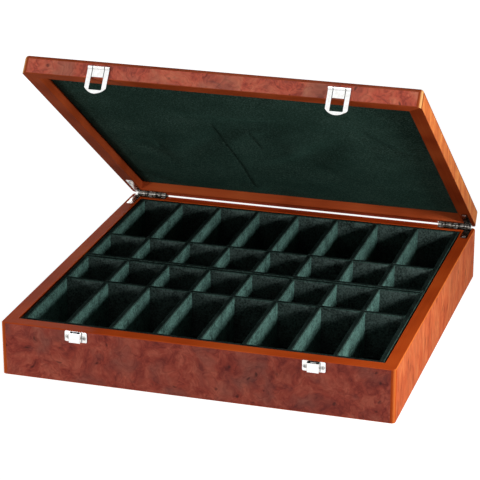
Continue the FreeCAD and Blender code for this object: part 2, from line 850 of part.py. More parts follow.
def lining():
    """Make the padded lining: drawn-in sides, a soft edge and a low crown."""
    made, planes = body("lining_pad")
    rim = "lining_bottom + lining_crown"
    levels = [("lining_draw_in", "lining_top"), ("0", f"{rim} + lining_edge_radius")]
    for angle in (30, 60, 90):
        inset = f"lining_edge_radius * (1 - cos({angle}))"
        levels.append((inset, f"{rim} + lining_edge_radius * (1 - sin({angle}))"))
    for step in (0.25, 0.5, 0.75, 1):
        inset = f"lining_edge_radius + lining_crown_width * {step}"
        levels.append((inset, f"lining_bottom + lining_crown * {(1 - step) ** 2}"))
    sections = []
    for number_up, (inset, height) in enumerate(levels):
        right = f"lining_width / 2 - ({inset})"
        back = f"lining_depth / 2 - ({inset})"
        sections.append(rectangle(
            made, f"lining_level_{number_up}", planes["XY_Plane"],
            f"-({right})", f"-({back})", right, back, height,
        ))
    loft = made.newObject("PartDesign::AdditiveLoft", "lining_stuffing")
    loft.Profile = sections[0]
    loft.Sections = sections[1:]
    loft.Ruled = True
    return made


fill_sheet()
screw = screw_master()
hole = hole_master()

# The carcass of the base, with its veneer, panel and trays
keeper_holes = catch_spots("keeper_screw_offset", "keeper_thickness", "base_height - keeper_screw_drop")
base_leaf_holes = leaf_spots("base_leaf_length", "base_height", FACES_UP)
base_holes = copies("base_holes", hole, keeper_holes + base_leaf_holes)
base_sheets = sheets("base", "base_height", "veneer_edge_margin")
base_mortise = mortise(
    "base_mortise", "base_leaf_length", "base_height - leaf_thickness", "hinge_height",
)
base_mortises = group("base_mortises", [base_mortise, mirrored("base_mortise_right", base_mortise)])
base_ring = frame_stock(
    "base_ring", "base_height", bevel, "base_edge_bevel",
    "0", "bottom_panel_thickness", "bottom_rabbet_width",
)
base_ring = cut("base_veneered", base_ring, group("base_sheets", list(base_sheets.values())))
base_ring = cut("base_mortised", base_ring, base_mortises)
mitred_walls("base", base_ring)
for side, stock in base_sheets.items():
    node(f"base_{side}_veneer", cut(f"base_{side}_facing", stock, base_mortises))
node("base_bottom_panel", board("bottom_board", "bottom_rabbet_width", "bottom_panel_thickness"))
tray("front_tray", "-inner_depth / 2 + tray_end_gap", "long_row_length", ("long_row", "short_row"))
tray("rear_tray", "tray_end_gap / 2", "short_row_length", ("short_row", "long_row"))

# The fixed halves of the hinges and catches
base_leaf = hinge_leaf(
    "base_leaf", "base_leaf_length", "base_height - leaf_thickness", "hinge_height",
    "0", "(knuckle_count + 1) / 2",
)
base_leaf = node("left_hinge_base_leaf", cut("base_leaf_drilled", base_leaf, base_holes))
node("right_hinge_base_leaf", mirrored("base_leaf_right", base_leaf))
hinge_pin = pin(
    "hinge_pin", "barrel_start", "barrel_length", "hinge_line", "hinge_height", "hinge_pin_radius",
)
node("left_hinge_pin", hinge_pin)
node("right_hinge_pin", mirrored("hinge_pin_right", hinge_pin))
node("hinge_base_screws", copies("base_leaf_screws", screw, base_leaf_holes))
left_keeper = node("left_keeper", cut("keeper_drilled", keeper(), base_holes))
node("right_keeper", mirrored("keeper_right", left_keeper))
left_spring = node("left_keeper_spring", keeper_spring())
node("right_keeper_spring", mirrored("keeper_spring_right", left_spring))
node("keeper_screws", copies("keeper_screw_set", screw, keeper_holes))

# The carcass of the lid, with its veneer, panel and lining
plate_holes = catch_spots("hasp_plate_screw_offset", "hasp_plate_thickness", "hasp_plate_screw_height")
lid_leaf_holes = leaf_spots("lid_leaf_length", "0", FACES_DOWN)
lid_holes = copies("lid_holes", hole, plate_holes + lid_leaf_holes)
lid_sheets = sheets("lid", "lid_height", "lid_edge_radius")
lid_mortise = mortise("lid_mortise", "lid_leaf_length", "0", "-rim_gap / 2")
lid_mortises = group("lid_mortises", [lid_mortise, mirrored("lid_mortise_right", lid_mortise)])
lid_ring = frame_stock(
    "lid_ring", "lid_height", soften, "lid_edge_radius",
    "lining_top", "top_panel_thickness", "top_rabbet_width",
)
lid_ring = cut("lid_veneered", lid_ring, group("lid_sheets", list(lid_sheets.values())))
lid_ring = cut("lid_mortised", lid_ring, lid_mortises)
mitred_walls("lid", lid_ring, on_lid)
for side, stock in lid_sheets.items():
    node(f"lid_{side}_veneer", on_lid(cut(f"lid_{side}_facing", stock, lid_mortises)))
for label, bottom, thickness in (
    ("lid_top_panel", "lining_top", "top_panel_thickness - veneer_thickness"),
    ("lid_top_veneer", "lid_height - veneer_thickness", "veneer_thickness"),
):
    node(label, board(label + "_board", "top_rabbet_width", thickness, bottom, LID_PLACE))
node("lid_lining", on_lid(lining()))

# The moving halves of the hinges and catches
lid_leaf = hinge_leaf("lid_leaf", "lid_leaf_length", "0", "-rim_gap / 2", "1", "(knuckle_count - 1) / 2")
lid_leaf = node("left_hinge_lid_leaf", on_lid(cut("lid_leaf_drilled", lid_leaf, lid_holes)))
node("right_hinge_lid_leaf", mirrored("lid_leaf_right", lid_leaf))
node("hinge_lid_screws", on_lid(copies("lid_leaf_screws", screw, lid_leaf_holes)))
left_plate = node("left_hasp_plate", on_lid(cut("hasp_plate_drilled", hasp_plate(), lid_holes)))
node("right_hasp_plate", mirrored("hasp_plate_right", left_plate))
node("hasp_plate_screws", on_lid(copies("hasp_plate_screw_set", screw, plate_holes)))
hasp_pin = pin(
    "hasp_pin", "-catch_offset - hasp_width / 2", "hasp_width", "-hasp_pin_line", "hasp_pin_height",
    "hasp_pin_radius", LID_PLACE,
)
left_pin = node("left_hasp_pin", hasp_pin)
node("right_hasp_pin", mirrored("hasp_pin_right", left_pin))
left_hasp = node("left_hasp", hasp())
node("right_hasp", mirrored("hasp_right", left_hasp))

doc.recompute()
for item in doc.Objects:
    faults = {"Invalid", "Error"} & set(item.State)
    if faults:
        raise RuntimeError(f"{item.Label} did not build: {sorted(faults)}")
for item in nodes:
    if item.Shape.isNull() or not item.Shape.isValid() or not item.Shape.Solids:
        raise RuntimeError(f"{item.Label} has no sound shape")

os.makedirs("parts", exist_ok=True)
for item in nodes:
    item.Shape.exportStep(f"parts/{item.Label}.step")
print(f"{len(nodes)} sub-parts written")
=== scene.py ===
# %% [markdown]
# # A chess piece box in burl veneer
#
# The solids of the box come in as a fixed frame: every wall, tray, hinge and
# catch already has its true size and place. This script dresses them. It gives
# each part the finish of the real one, makes the velvet lining of the lid as a
# soft piece, and sets the floor, the light and the camera.

import json
import math

import bmesh
import bpy
from mathutils import Matrix, Vector


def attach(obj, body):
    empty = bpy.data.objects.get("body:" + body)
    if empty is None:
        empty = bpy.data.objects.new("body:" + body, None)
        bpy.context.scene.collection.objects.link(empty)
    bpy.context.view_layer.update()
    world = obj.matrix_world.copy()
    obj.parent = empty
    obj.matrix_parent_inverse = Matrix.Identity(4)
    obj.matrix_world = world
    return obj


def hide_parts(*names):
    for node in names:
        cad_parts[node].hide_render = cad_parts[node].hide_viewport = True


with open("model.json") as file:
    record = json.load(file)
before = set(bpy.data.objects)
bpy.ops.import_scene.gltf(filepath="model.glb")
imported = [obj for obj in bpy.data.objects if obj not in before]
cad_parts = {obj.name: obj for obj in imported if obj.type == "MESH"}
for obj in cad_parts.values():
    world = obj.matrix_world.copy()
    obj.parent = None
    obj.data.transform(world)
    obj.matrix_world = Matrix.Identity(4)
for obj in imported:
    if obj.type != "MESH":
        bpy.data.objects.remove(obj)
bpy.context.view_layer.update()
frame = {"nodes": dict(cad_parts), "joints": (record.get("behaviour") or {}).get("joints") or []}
nodes = frame["nodes"]
print(len(nodes), "CAD nodes")

# %% [markdown]
# All the sizes below are written in millimetres, as a maker would say them, and
# `MM` turns them to metres. A pattern's scale is also worked out from a size in
# millimetres: a texture node with the scale 1 repeats about once a metre.

# %% Units
MM = 0.001


def repeats(size):
    """Turn the size of a pattern's feature, in mm, to a texture node's scale."""
    return 1 / (size * MM)


print("a feature of 10 mm needs a texture scale of", repeats(10))

# %% [markdown]
# Colours are picked as sRGB hex values, as a paint chip is. Blender's shaders
# work in linear light, so one function converts them. A second small function
# adds a node, sets it, and fills or links its inputs, so that each material
# reads as a short list of steps. A Mix node has one set of sockets for numbers,
# one for vectors and one for colours, and the colour ones are known by number.

# %% Colour and node helpers
COLOUR_A, COLOUR_B, COLOUR_OUT = 6, 7, 2


def linear(hex_colour):
    """Turn an sRGB hex colour to the linear RGBA that a shader takes."""
    channels = [int(hex_colour[i:i + 2], 16) / 255 for i in (1, 3, 5)]
    return [c / 12.92 if c <= 0.04045 else ((c + 0.055) / 1.055) ** 2.4 for c in channels] + [1]


def add(tree, kind, inputs=None, stops=None, **settings):
    """Add a node with its settings, its colour stops, and its set or linked inputs."""
    node = tree.nodes.new("ShaderNode" + kind)
    for name, value in settings.items():
        setattr(node, name, value)
    for place, colour in stops or ():
        if place == stops[0][0]:
            element = node.color_ramp.elements[0]
        elif place == stops[-1][0]:
            element = node.color_ramp.elements[-1]
        else:
            element = node.color_ramp.elements.new(place)
        element.position = place
        element.color = linear(colour)
    for name, value in (inputs or {}).items():
        if isinstance(value, bpy.types.NodeSocket):
            tree.links.new(value, node.inputs[name])
        else:
            node.inputs[name].default_value = value
    return node


def start_material(name):
    """Make an empty material and return it with its node tree."""
    material = bpy.data.materials.new(name)
    material.use_nodes = True
    material.node_tree.nodes.clear()
    return material, material.node_tree


def dress(material, *names):
    """Give CAD nodes a material."""
    for name in names:
        mesh = nodes[name].data
        mesh.materials.clear()
        mesh.materials.append(material)
    print(material.name, "on", len(names), "nodes")


# %% [markdown]
# ## Burl veneer
#
# Burl is cut from the knotty growths of a tree. It has no straight grain: clouds
# of lighter and darker wood swirl round small dark eyes, thin veins follow the
# swirls, and a fine curl makes narrow light and dark bands beside them. All of
# that could be painted, but noise gives a figure that never repeats. The swirl
# comes first: the coordinates are pushed about by a coloured noise, and every
# later pattern reads the pushed ones, so that all of them flow together.

# %% Swirled coordinates
WHIRL_SIZE = 30
WHIRL_PUSH = 34 * MM


def swirl(tree, stretch):
    """Give object coordinates pushed about in whirls, drawn out along Z."""
    place = add(tree, "TexCoord").outputs["Object"]
    drawn = add(tree, "Mapping", {"Vector": place, "Scale": (1, 1, 1 / stretch)}).outputs[0]
    whirl = add(tree, "TexNoise", {"Vector": drawn, "Scale": repeats(WHIRL_SIZE), "Detail": 3.0})
    centred = add(
        tree, "VectorMath", {0: whirl.outputs["Color"], 1: (0.5, 0.5, 0.5)}, operation="SUBTRACT"
    )
    pushed = add(
        tree, "VectorMath", {0: centred.outputs[0], "Scale": WHIRL_PUSH}, operation="SCALE"
    )
    return add(tree, "VectorMath", {0: drawn, 1: pushed.outputs[0]}, operation="ADD").outputs[0]


print("the swirl turns about every", WHIRL_SIZE, "mm")

# %% [markdown]
# The clouds are one noise through a ramp of three stains. A finer noise is added
# to it for the pores, which are about 0.2 mm wide and are drawn at 3 mm, or they
# wouldn't show. The stain takes unevenly: where the wood drinks up less of it,
# a patch stays paler and greyer.

# %% Clouds, pores and pale patches
CLOUD_SIZE = 14
PORE_SIZE = 3
PORE_SHARE = 0.3
PATCH_SIZE = 32
PATCH_STRENGTH = 0.45


def clouds(tree, swirled, stains, unstained):
    """Give the clouded colour of a burl, and the patterns of its clouds and pores."""
    cloud = add(
        tree, "TexNoise",
        {"Vector": swirled, "Scale": repeats(CLOUD_SIZE), "Detail": 5.0, "Roughness": 0.6},
    ).outputs["Fac"]
    pores = add(
        tree, "TexNoise",
        {"Vector": swirled, "Scale": repeats(PORE_SIZE), "Detail": 3.0, "Roughness": 0.6},
    ).outputs["Fac"]
    grained = add(
        tree, "Math", {0: pores, 1: PORE_SHARE, 2: cloud}, operation="MULTIPLY_ADD"
    ).outputs[0]
    red = add(
        tree, "ValToRGB", {"Fac": grained}, stops=list(zip((0.4, 0.62, 0.84), stains))
    ).outputs["Color"]
    uptake = add(
        tree, "TexNoise", {"Vector": swirled, "Scale": repeats(PATCH_SIZE), "Detail": 2.0}
    ).outputs["Fac"]
    patches = add(tree, "MapRange", {
        "Value": uptake, "From Min": 0.5, "From Max": 0.7, "To Max": PATCH_STRENGTH,
    }).outputs["Result"]
    wood = add(
        tree, "Mix", {"Factor": patches, COLOUR_A: red, COLOUR_B: linear(unstained)},
        data_type="RGBA",
    ).outputs[COLOUR_OUT]
    return wood, cloud, pores


print("clouds of", CLOUD_SIZE, "mm and patches of", PATCH_SIZE, "mm")

# %% [markdown]
# Veins and curl are contour lines, like those on a map, of one smooth noise that
# is bent towards the eyes. A sine turns its height to waves. The places where a
# slow wave crosses zero are the dark veins, which fade out in the lighter
# clouds, and a faster wave makes the wood a little lighter and darker.

# %% Veins and curl
CONTOUR_SIZE = 18
EYE_PULL = 0.25
VEIN_WAVES = 17.0
VEIN_STRENGTH = 0.4
CURL_WAVES = 44.0
CURL_DEPTH = 0.05


def figure(tree, swirled, eye_distance, wood, cloud, dark):
    """Draw the veins and the curl of a burl over its clouded colour."""
    contour = add(
        tree, "TexNoise", {"Vector": swirled, "Scale": repeats(CONTOUR_SIZE), "Detail": 2.0}
    ).outputs["Fac"]
    height = add(
        tree, "Math", {0: eye_distance, 1: EYE_PULL, 2: contour}, operation="MULTIPLY_ADD"
    ).outputs[0]
    slow = add(tree, "Math", {0: height, 1: VEIN_WAVES}, operation="MULTIPLY").outputs[0]
    waves = add(tree, "Math", {0: slow}, operation="SINE").outputs[0]
    from_vein = add(tree, "Math", {0: waves}, operation="ABSOLUTE").outputs[0]
    veins = add(
        tree, "MapRange",
        {"Value": from_vein, "From Max": 0.45, "To Min": VEIN_STRENGTH, "To Max": 0.0},
        interpolation_type="SMOOTHSTEP",
    ).outputs["Result"]
    fading = add(
        tree, "MapRange", {"Value": cloud, "From Min": 0.62, "From Max": 0.42, "To Min": 0.35}
    ).outputs["Result"]
    drawn = add(tree, "Math", {0: veins, 1: fading}, operation="MULTIPLY").outputs[0]
    veined = add(
        tree, "Mix", {"Factor": drawn, COLOUR_A: wood, COLOUR_B: linear(dark)}, data_type="RGBA"
    ).outputs[COLOUR_OUT]
    quick = add(tree, "Math", {0: height, 1: CURL_WAVES}, operation="MULTIPLY").outputs[0]
    ripples = add(tree, "Math", {0: quick}, operation="SINE").outputs[0]
    curl = add(tree, "MapRange", {
        "Value": ripples, "From Min": -1.0, "To Min": 1 - CURL_DEPTH, "To Max": 1 + CURL_DEPTH,
    }).outputs["Result"]
    return add(tree, "VectorMath", {0: veined, "Scale": curl}, operation="SCALE").outputs[0]


print("the curl is", round(CURL_WAVES / VEIN_WAVES, 1), "times as close as the veins")

# %% [markdown]
# The eyes are the centres of Voronoi cells. Most cells only graze the surface,
# so there are few full eyes. Over it all lies satin lacquer. Real lacquer has an
# index of about 1.5, but a full coat of it laid a grey veil over the red. So the
# wood below has no gloss of its own, and a thin coat with a higher index keeps
# the reflections and leaves the colour clear.

# %% Burl under satin lacquer
EYE_SPACING = 13
EYE_STRENGTH = 0.7
LACQUER_IOR = 2.5
LACQUER_ROUGHNESS = 0.17


def burl_veneer(name, stretch, gloss, stains, eye, unstained):
    """A burl veneer, stained and lacquered, its figure drawn out along Z."""
    material, tree = start_material(name)
    swirled = swirl(tree, stretch)
    eye_distance = add(
        tree, "TexVoronoi", {"Vector": swirled, "Scale": repeats(EYE_SPACING)}
    ).outputs["Distance"]
    wood, cloud, pores = clouds(tree, swirled, stains, unstained)
    figured = figure(tree, swirled, eye_distance, wood, cloud, stains[0])
    eyes = add(
        tree, "MapRange",
        {
            "Value": eye_distance, "From Min": 0.04, "From Max": 0.2,
            "To Min": EYE_STRENGTH, "To Max": 0.0,
        },
        interpolation_type="SMOOTHSTEP",
    ).outputs["Result"]
    finished = add(
        tree, "Mix", {"Factor": eyes, COLOUR_A: figured, COLOUR_B: linear(eye)},
        data_type="RGBA",
    ).outputs[COLOUR_OUT]
    bump = add(tree, "Bump", {"Height": pores, "Strength": 0.05, "Distance": 0.1 * MM})
    shader = add(tree, "BsdfPrincipled", {
        "Base Color": finished, "Roughness": 0.6, "Specular IOR Level": 0.0,
        "Coat Weight": gloss, "Coat IOR": LACQUER_IOR, "Coat Roughness": LACQUER_ROUGHNESS,
        "Normal": bump.outputs[0],
    })
    add(tree, "OutputMaterial", {"Surface": shader.outputs[0]})
    return material


print("an eye at most every", EYE_SPACING, "mm")

# %% [markdown]
# The front and back are the reddest and darkest, and the lid's sheets are a lighter
# red. The front's darker red is partly painted shade, since it faces away from the
# lamp on the right. The sheets on the sides are more orange, and their figure is
# drawn out upwards, with browner, paler eyes.

# %% Four cuts of burl
# The front's darker, redder stains are partly painted shade.
shaded_front_burl = burl_veneer(
    "front_burl_veneer", 1.0, 0.07, ("#78241E", "#B44836", "#D06850"), "#3A140E", "#805A50"
)
lid_burl = burl_veneer(
    "lid_burl_veneer", 1.0, 0.11, ("#9A362C", "#E0644A", "#F28664"), "#3A140E", "#A87864"
)
side_burl = burl_veneer(
    "side_burl_veneer", 3.0, 0.03, ("#B04C2C", "#D4663A", "#E4804C"), "#6A2E18", "#C07048"
)
lid_side_burl = burl_veneer(
    "lid_side_burl_veneer", 3.0, 0.05, ("#B05426", "#D07034", "#E49048"), "#6A2E18", "#C88040"
)
dress(shaded_front_burl, "base_front_veneer", "base_back_veneer")
dress(lid_burl, "lid_front_veneer", "lid_back_veneer", "lid_top_veneer")
dress(side_burl, "base_left_veneer", "base_right_veneer")
dress(lid_side_burl, "lid_left_veneer", "lid_right_veneer")

# %% [markdown]
# ## Plain lacquered wood
#
# The rims, the corners and the inside of the walls are plain straight-grained
# hardwood, stained orange-brown and lacquered. The grain runs along each board.
# A wave texture would draw it as even stripes, so a noise is drawn out along the
# board instead: long features one way, fine ones across it, and each streak
# fades out somewhere. The grain's lines are about 0.5 mm apart and are drawn at
# 2.2 mm, or they wouldn't show. A slow noise gives lighter and darker stretches
# of stain. The rounded upright corners are painted lighter and paler: a painted
# highlight, where the lamp on the right would catch the rounding. These are the
# places that face neither straight to a side nor straight to the front, so the
# surface's own direction finds them.

# %% Stained, lacquered boards
GRAIN_SIZE = 2.2
GRAIN_DRAWN_OUT = 60
GRAIN_SHARE = 0.3
STRETCH_SIZE = 70


def lacquered_wood(name, turn, dark, middle, light, corner_highlight):
    """Straight-grained wood, its grain along X before it is turned, painted highlight at corners.
    """
    material, tree = start_material(name)
    place = add(tree, "TexCoord").outputs["Object"]
    along = add(tree, "Mapping", {"Vector": place, "Rotation": turn}).outputs[0]
    drawn = add(
        tree, "Mapping", {"Vector": along, "Scale": (1 / GRAIN_DRAWN_OUT, 1.0, 1.0)}
    ).outputs[0]
    grain = add(
        tree, "TexNoise",
        {"Vector": drawn, "Scale": repeats(GRAIN_SIZE), "Detail": 4.0, "Roughness": 0.6},
    ).outputs["Fac"]
    stretches = add(
        tree, "TexNoise", {"Vector": place, "Scale": repeats(STRETCH_SIZE), "Detail": 2.0}
    ).outputs["Fac"]
    mixed = add(
        tree, "Math", {0: grain, 1: GRAIN_SHARE, 2: stretches}, operation="MULTIPLY_ADD"
    ).outputs[0]
    wood = add(
        tree, "ValToRGB", {"Fac": mixed}, stops=[(0.5, dark), (0.68, middle), (0.9, light)]
    ).outputs["Color"]
    normal = add(tree, "NewGeometry").outputs["Normal"]
    turned = add(tree, "SeparateXYZ", {0: normal}).outputs["X"]
    sideways = add(tree, "Math", {0: turned, 1: turned}, operation="MULTIPLY").outputs[0]
    onward = add(tree, "Math", {0: 1.0, 1: sideways}, operation="SUBTRACT").outputs[0]
    slanted = add(tree, "Math", {0: sideways, 1: onward}, operation="MULTIPLY").outputs[0]
    # How much painted highlight the rounded corners get, found by the surface's direction.
    corner_highlight_share = add(tree, "MapRange", {
        "Value": slanted, "From Min": 0.06, "From Max": 0.22, "To Max": 0.85,
    }).outputs["Result"]
    # Mix the painted highlight into the rounded corners; this is not wear.
    worn = add(
        tree, "Mix", {"Factor": corner_highlight_share, COLOUR_A: wood, COLOUR_B: linear(corner_highlight)},
        data_type="RGBA",
    ).outputs[COLOUR_OUT]
    bump = add(tree, "Bump", {"Height": grain, "Strength": 0.04, "Distance": 0.1 * MM})
    shader = add(tree, "BsdfPrincipled", {
        "Base Color": worn, "Roughness": 0.6, "Specular IOR Level": 0.0,
        "Coat Weight": 0.025, "Coat IOR": LACQUER_IOR, "Coat Roughness": LACQUER_ROUGHNESS,
        "Normal": bump.outputs[0],
    })
    add(tree, "OutputMaterial", {"Surface": shader.outputs[0]})
    return material


print("the grain is", GRAIN_DRAWN_OUT, "times as long as it is wide")

# %% [markdown]
# Front and back boards run along X, so their grain isn't turned. Side boards run
# along Y, and those of the lid are also tilted as the lid is. The imported joint
# says how far the lid stands open: its lower limit is the shut lid. The lid's
# stain is a little browner than the base's, and its right board is painted
# darker: painted shade, as that side of the open lid is turned from the light.

# %% Five kinds of board
lid_joint = next(joint for joint in frame["joints"] if joint["name"] == "lid_hinge")
LID_ANGLE = math.radians(-lid_joint["range_deg"][0])
ALONG_X = (0, 0, 0)
ALONG_Y = (0, 0, math.pi / 2)
ALONG_TILTED_LID = (LID_ANGLE, 0, math.pi / 2)
# Each list is three stains, then the painted highlight colour of the rounded corners.
BASE_STAIN_AND_HIGHLIGHT = ("#B84418", "#CC501C", "#DA5E24", "#EC7C38")
LID_STAIN_AND_HIGHLIGHT = ("#A0421F", "#B85029", "#C86032", "#FFC078")
RIGHT_BOARD_SHADED_STAIN_AND_HIGHLIGHT = ("#803014", "#903B1A", "#A04822", "#FFC078")

long_boards = lacquered_wood("lacquered_boards_along_x", ALONG_X, *BASE_STAIN_AND_HIGHLIGHT)
side_boards = lacquered_wood("lacquered_boards_along_y", ALONG_Y, *BASE_STAIN_AND_HIGHLIGHT)
lid_long_boards = lacquered_wood("lacquered_lid_boards_along_x", ALONG_X, *LID_STAIN_AND_HIGHLIGHT)
lid_left_board = lacquered_wood("lacquered_lid_left_board", ALONG_TILTED_LID, *LID_STAIN_AND_HIGHLIGHT)
# The right board's darker stains are painted shade.
shaded_lid_right_board = lacquered_wood("lacquered_lid_right_board", ALONG_TILTED_LID, *RIGHT_BOARD_SHADED_STAIN_AND_HIGHLIGHT)
dress(long_boards, "base_front_wall", "base_back_wall")
dress(lid_long_boards, "lid_front_wall", "lid_back_wall")
dress(side_boards, "base_left_wall", "base_right_wall")
dress(lid_left_board, "lid_left_wall")
dress(shaded_lid_right_board, "lid_right_wall")
print("the lid stands open", round(math.degrees(LID_ANGLE), 1), "degrees")

# %% [markdown]
# ## Hardboard panels
#
# The bottom of the box is a thin fibre panel let into a rabbet, and so is the top
# under its veneer. Its pressed face is an even brown, with short fibres lying
# every way. One noise does for a face that is hardly seen, and its finest parts
# are drawn at 3 mm, coarser than the fibres.

# %% Pressed fibre panel
FIBRE_SIZE = 3

panel_board, tree = start_material("pressed_fibre_panel")
place = add(tree, "TexCoord").outputs["Object"]
fibres = add(
    tree, "TexNoise",
    {"Vector": place, "Scale": repeats(FIBRE_SIZE), "Detail": 6.0, "Roughness": 0.7},
).outputs["Fac"]
brown = add(
    tree, "ValToRGB", {"Fac": fibres}, stops=[(0.35, "#5E3A24"), (0.7, "#80543A")]
).outputs["Color"]
bump = add(tree, "Bump", {"Height": fibres, "Strength": 0.2, "Distance": 0.2 * MM})
shader = add(tree, "BsdfPrincipled", {
    "Base Color": brown, "Roughness": 0.7, "Normal": bump.outputs[0],
})
add(tree, "OutputMaterial", {"Surface": shader.outputs[0]})
dress(panel_board, "base_bottom_panel", "lid_top_panel")

# %% [markdown]
# ## Flocked trays
#
# Flock is a coat of very short fibres, shot into glue on cardboard. It has no
# gloss, and looks speckled close up. Its colour is painted by the way a face
# turns: a wall that faces right is painted lighter and bluer, as if lit by the
# lamp on the right, and the others are darker, painted shade. The tops are dark,
# and their rounded edges are a painted highlight. The floors are painted nearly
# black, painted shade. Hair could be grown on every wall, but the fibres are only
# about 0.05 mm thick, so the speckle is drawn at 1.8 mm, or it wouldn't show.

# %% Teal-green flock
SPECKLE_SIZE = 1.8
BRUSHED_SIZE = 16
BRUSHED_SHARE = 0.5


def flock(name, shaded_side, along, top, edge):
    """Flock on cardboard, speckled, with light and shade painted by the way a face turns."""
    material, tree = start_material(name)
    place = add(tree, "TexCoord").outputs["Object"]
    speckle = add(
        tree, "TexNoise",
        {"Vector": place, "Scale": repeats(SPECKLE_SIZE), "Detail": 2.0, "Roughness": 0.6},
    ).outputs["Fac"]
    brushed = add(
        tree, "TexNoise", {"Vector": place, "Scale": repeats(BRUSHED_SIZE), "Detail": 3.0}
    ).outputs["Fac"]
    normal = add(tree, "NewGeometry").outputs["Normal"]
    facing = add(tree, "SeparateXYZ", {0: normal})
    # Right-facing walls take the lit colour, the others the shaded one: painted light and shade.
    lit_or_shaded_by_facing = add(
        tree, "ValToRGB", {"Fac": facing.outputs["X"]}, stops=[(0.1, shaded_side), (0.8, along)]
    ).outputs["Color"]
    # Tops take the dark top colour, and rounded edges a lighter one, a painted highlight.
    upward = add(
        tree, "ValToRGB", {"Fac": facing.outputs["Z"]}, stops=[(0.75, edge), (0.95, top)]
    ).outputs["Color"]
    slope = add(tree, "MapRange", {
        "Value": facing.outputs["Z"], "From Min": 0.2, "From Max": 0.6,
    }).outputs["Result"]
    fibres = add(
        tree, "Mix", {"Factor": slope, COLOUR_A: lit_or_shaded_by_facing, COLOUR_B: upward}, data_type="RGBA"
    ).outputs[COLOUR_OUT]
    mixed = add(
        tree, "Math", {0: brushed, 1: BRUSHED_SHARE, 2: speckle}, operation="MULTIPLY_ADD"
    ).outputs[0]
    shade = add(tree, "MapRange", {
        "Value": mixed, "From Min": 0.55, "From Max": 0.95, "To Min": 0.3, "To Max": 1.7,
    }).outputs["Result"]
    speckled = add(
        tree, "VectorMath", {0: fibres, "Scale": shade}, operation="SCALE"
    ).outputs[0]
    bump = add(tree, "Bump", {"Height": speckle, "Strength": 0.5, "Distance": 0.4 * MM})
    shader = add(tree, "BsdfPrincipled", {
        "Base Color": speckled, "Roughness": 0.95, "Specular IOR Level": 0.0,
        "Normal": bump.outputs[0],
    })
    add(tree, "OutputMaterial", {"Surface": shader.outputs[0]})
    return material


# The floors are painted nearly black: painted shade, as the deep compartments keep light from
# them.
PAINTED_SHADE_BLACK = "#060909"
TRAY_WALLS = (
    "front_wall", "back_wall", "left_wall", "right_wall",
    "long_divider", "long_row_dividers", "short_row_dividers",
)

# Shaded side, lit side, dark top, and the painted highlight of the edges.
wall_flock = flock("teal_flock", "#4C5B57", "#567870", "#222D2A", "#3A4F49")
shaded_floor_flock = flock("teal_flock_painted_shade", *[PAINTED_SHADE_BLACK] * 4)
for tray in ("front_tray", "rear_tray"):
    dress(shaded_floor_flock, f"{tray}_floor")
    dress(wall_flock, *[f"{tray}_{wall}" for wall in TRAY_WALLS])

# %% [markdown]
# ## Nickel and steel
#
# The hinges and catches are pressed steel sheet with nickel plating. On the
# catches it is bright: nearly a mirror, faintly warm, with soft rubbed marks. On
# the hinges its colour is mottled from near black to pale, painted dark
# reflections and painted glints, and it is dinted from the press. The springs,
# the pins and most screws are greyer and duller steel, and the screws of the
# hinges are pale and rough. A mirror shows only what stands round it, so most of
# the look of metal lies in how its polish and its flatness vary. Ambient
# occlusion measures how open a place is, and the closed ones are darkened:
# painted shade in corners and recesses. The dints are drawn at 1.5 mm, coarser
# than they are.

# %% Metals
SMUDGE_SIZE = 3
DINT_SIZE = 1.5
PAINTED_SHADE_REACH = 1.2 * MM


def bright_metal(name, pale, deep, roughness, marks, beaten):
    """A plated or rubbed metal whose polish varies a little, with painted shade in its corners."""
    material, tree = start_material(name)
    place = add(tree, "TexCoord").outputs["Object"]
    smudges = add(
        tree, "TexNoise", {"Vector": place, "Scale": repeats(SMUDGE_SIZE), "Detail": 3.0}
    ).outputs["Fac"]
    colour = add(
        tree, "ValToRGB", {"Fac": smudges}, stops=[(0.4, deep), (0.6, pale)]
    ).outputs["Color"]
    polish = add(tree, "MapRange", {
        "Value": smudges, "To Min": roughness, "To Max": roughness + marks,
    }).outputs["Result"]
    dints = add(tree, "TexNoise", {"Vector": place, "Scale": repeats(DINT_SIZE), "Detail": 1.0})
    bump = add(tree, "Bump", {
        "Height": dints.outputs["Fac"], "Strength": beaten, "Distance": 0.2 * MM,
    })
    # Places closed in by nearby surfaces are darkened: painted shade.
    open_sky = add(tree, "AmbientOcclusion", {"Distance": PAINTED_SHADE_REACH}, samples=8).outputs["AO"]
    unshaded = add(tree, "MapRange", {
        "Value": open_sky, "From Min": 0.55, "From Max": 0.9, "To Min": 0.04,
    }).outputs["Result"]
    with_painted_shade = add(tree, "VectorMath", {0: colour, "Scale": unshaded}, operation="SCALE").outputs[0]
    shader = add(tree, "BsdfPrincipled", {
        "Base Color": with_painted_shade, "Metallic": 1.0, "Roughness": polish,
        "Normal": bump.outputs[0],
    })
    add(tree, "OutputMaterial", {"Surface": shader.outputs[0]})
    return material


nickel = bright_metal("polished_nickel_plate", "#FFFFFF", "#F6F5F2", 0.12, 0.12, 0.05)
